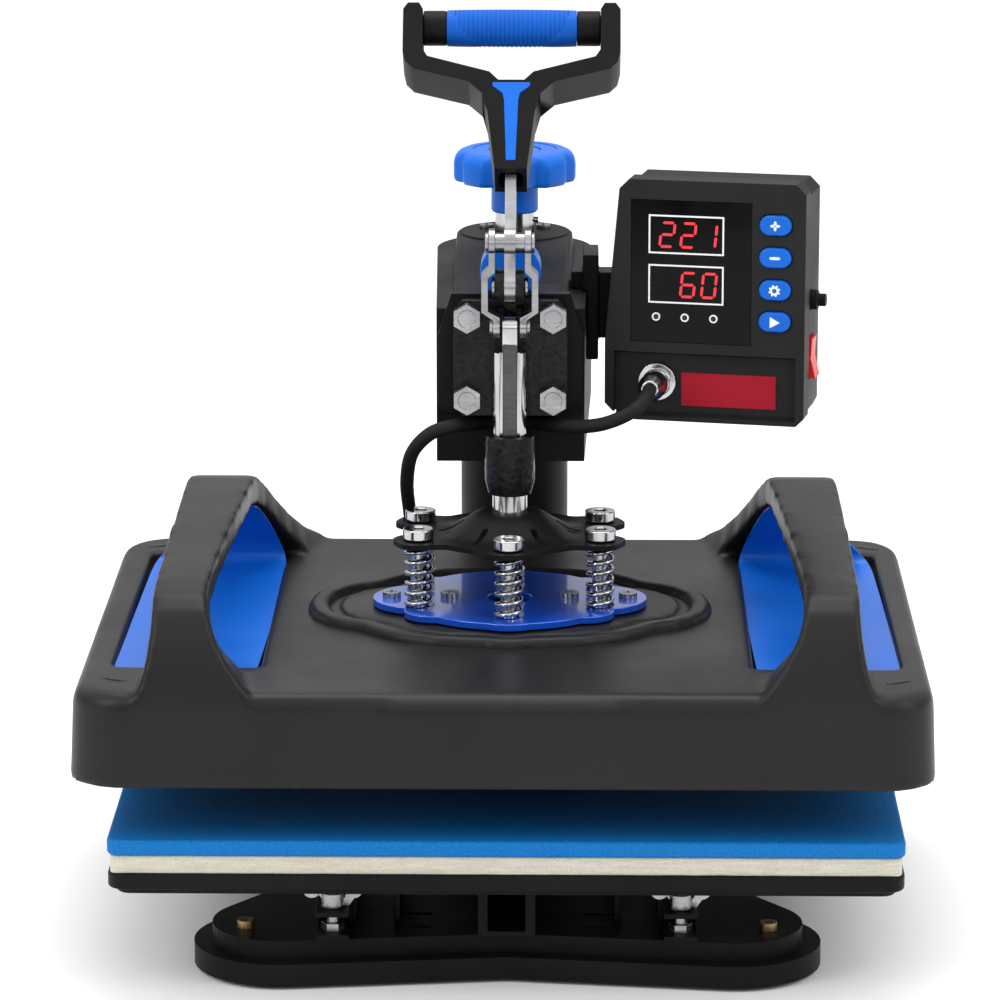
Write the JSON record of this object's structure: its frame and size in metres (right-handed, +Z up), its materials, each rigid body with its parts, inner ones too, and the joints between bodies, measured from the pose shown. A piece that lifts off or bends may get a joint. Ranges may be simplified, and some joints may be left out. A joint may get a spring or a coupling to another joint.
{
  "type": "heat press",
  "caption": "Swing-away flatbed heat press with a toggle lever, sprung upper heater under a moulded cover, padded lower platen, pressure knob and digital control box.",
  "frame": {"origin": "on the table under the plunger axis, z = 0 at the bottom of the rubber feet", "axes": "+Z up along the plunger, the operator stands at -Y, the column is at +Y, the control box is at +X"},
  "size_m": [0.406, 0.41, 0.4499],
  "materials": {
    "black_steel": "satin powder coat",
    "black_casting": "hammered black paint",
    "black_plastic": "fine grained",
    "grey_plastic": "fine grained",
    "gloss_black": "glossy",
    "white_print": "printed",
    "blue_plastic": "satin",
    "blue_paint": "glossy",
    "red_plastic": "satin",
    "red_label": "satin",
    "zinc_steel": "bright zinc",
    "chrome_steel": "polished",
    "brass_screw": "satin",
    "rubber_black": "matt",
    "silicone_blue": "foam grain",
    "felt_cream": "pressed felt",
    "bronze_nut": "turned",
    "insulation_wool": "matt",
    "coated_aluminium": "non-stick coating"
  },
  "bodies": {
    "frame": {"base_plate": "black_steel", "rubber_feet": "rubber_black", "foot_screws": "brass_screw", "platen_rails": "black_steel", "platen_clips": "black_steel", "platen_studs": "zinc_steel", "lower_platen": "black_steel", "felt_board": "felt_cream", "silicone_pad": "silicone_blue", "column": "black_steel", "column_flange": "black_steel", "flange_bolts": "zinc_steel"},
    "wing_left": {"wing_nut_left": "zinc_steel"},
    "wing_right": {"wing_nut_right": "zinc_steel"},
    "swivel": {"swivel_nut": "bronze_nut"},
    "arm": {"arm_sleeve": "black_casting", "arm_beam": "black_steel", "arm_shroud": "black_plastic", "arm_frame": "black_plastic", "arm_cap": "black_plastic", "cap_screws": "zinc_steel", "rest_bumper": "blue_plastic", "toggle_casting": "black_casting", "casting_bolts": "zinc_steel", "pivot_pin": "zinc_steel", "box_bracket": "black_steel", "box_shell": "grey_plastic", "box_back": "black_plastic", "display_panel": "gloss_black", "display_cells": "white_print", "cable_socket": "chrome_steel", "label_plate": "red_label", "heater_cable": "rubber_black"},
    "plus": {"key_plus": "blue_plastic"},
    "minus": {"key_minus": "blue_plastic"},
    "set": {"key_set": "blue_plastic"},
    "start": {"key_start": "blue_plastic"},
    "rocker": {"power_rocker": "red_plastic"},
    "reset": {"reset_button": "black_plastic"},
    "knob": {"spindle": "zinc_steel", "spindle_collar": "chrome_steel", "pressure_knob": "blue_plastic", "knob_disc": "blue_plastic"},
    "handle": {"lever_bar": "zinc_steel", "handle_moulding": "black_plastic", "handle_inlay": "blue_plastic", "grip_core": "black_plastic", "grip_sleeve": "blue_plastic"},
    "link": {"link_plates": "zinc_steel", "link_rivets": "zinc_steel"},
    "plunger": {"plunger_rod": "chrome_steel", "spider_plate": "black_steel", "spring_coils": "chrome_steel"},
    "heater": {"spring_bolts": "chrome_steel", "spring_plate": "blue_paint", "plate_screws": "zinc_steel", "heater_cover": "black_plastic", "cover_liners": "blue_plastic", "insulation": "insulation_wool", "heater_platen": "coated_aluminium"}
  },
  "joints": [
    {"name": "arm_swing", "type": "hinge", "parent": "frame", "child": "swivel", "pos_m": [0, 0.195, 0.26], "axis": [0, 0, 1], "continuous": true},
    {"name": "arm_height", "type": "slide", "parent": "swivel", "child": "arm", "axis": [0, 0, 1], "range_m": [0, 0.015]},
    {"name": "knob_turn", "type": "hinge", "parent": "arm", "child": "knob", "pos_m": [0, 0.195, 0.34], "axis": [0, 0, 1], "range_deg": [0, 1800.5]},
    {"name": "handle_tilt", "type": "hinge", "parent": "arm", "child": "handle", "pos_m": [0, 0, 0.319], "axis": [1, 0, 0], "range_deg": [0, 113.5]},
    {"name": "link_swing", "type": "hinge", "parent": "handle", "child": "link", "pos_m": [0, 0, 0.341], "axis": [1, 0, 0], "range_deg": [-86, 0.5]},
    {"name": "plunger_slide", "type": "slide", "parent": "arm", "child": "plunger", "axis": [0, 0, -1], "range_m": [-0.0001, 0.02576]},
    {"name": "spring_float", "type": "slide", "parent": "plunger", "child": "heater", "axis": [0, 0, 1], "range_m": [0, 0.004], "stiffness_N_per_m": 30000, "springref_m": -0.006, "deforming": ["spring_coils"]},
    {"name": "plus_press", "type": "slide", "parent": "arm", "child": "plus", "axis": [0.2079, 0.9781, 0], "range_m": [0, 0.0014], "stiffness_N_per_m": 400, "springref_m": -0.0015},
    {"name": "minus_press", "type": "slide", "parent": "arm", "child": "minus", "axis": [0.2079, 0.9781, 0], "range_m": [0, 0.0014], "stiffness_N_per_m": 400, "springref_m": -0.0015},
    {"name": "set_press", "type": "slide", "parent": "arm", "child": "set", "axis": [0.2079, 0.9781, 0], "range_m": [0, 0.0014], "stiffness_N_per_m": 400, "springref_m": -0.0015},
    {"name": "start_press", "type": "slide", "parent": "arm", "child": "start", "axis": [0.2079, 0.9781, 0], "range_m": [0, 0.0014], "stiffness_N_per_m": 400, "springref_m": -0.0015},
    {"name": "rocker_tilt", "type": "hinge", "parent": "arm", "child": "rocker", "pos_m": [0.14924, 0.03685, 0.277], "axis": [0.2079, 0.9781, 0], "range_deg": [0, 12]},
    {"name": "reset_press", "type": "slide", "parent": "arm", "child": "reset", "axis": [-0.9781, 0.2079, 0], "range_m": [0, 0.002], "stiffness_N_per_m": 400, "springref_m": -0.0015},
    {"name": "wing_turn_left", "type": "hinge", "parent": "frame", "child": "wing_left", "pos_m": [-0.084, -0.114, 0.04], "axis": [0, 0, 1], "continuous": true},
    {"name": "wing_turn_right", "type": "hinge", "parent": "frame", "child": "wing_right", "pos_m": [0.084, -0.114, 0.04], "axis": [0, 0, 1], "continuous": true}
  ],
  "couplings": [
    {"joint": "knob_turn", "follows": "arm_height", "rad_per_m": 2094.4},
    {"joint": "link_swing", "follows": "handle_tilt", "ratio": -0.74966},
    {"joint": "plunger_slide", "follows": "handle_tilt", "m_per_rad": 0.012956}
  ]
}
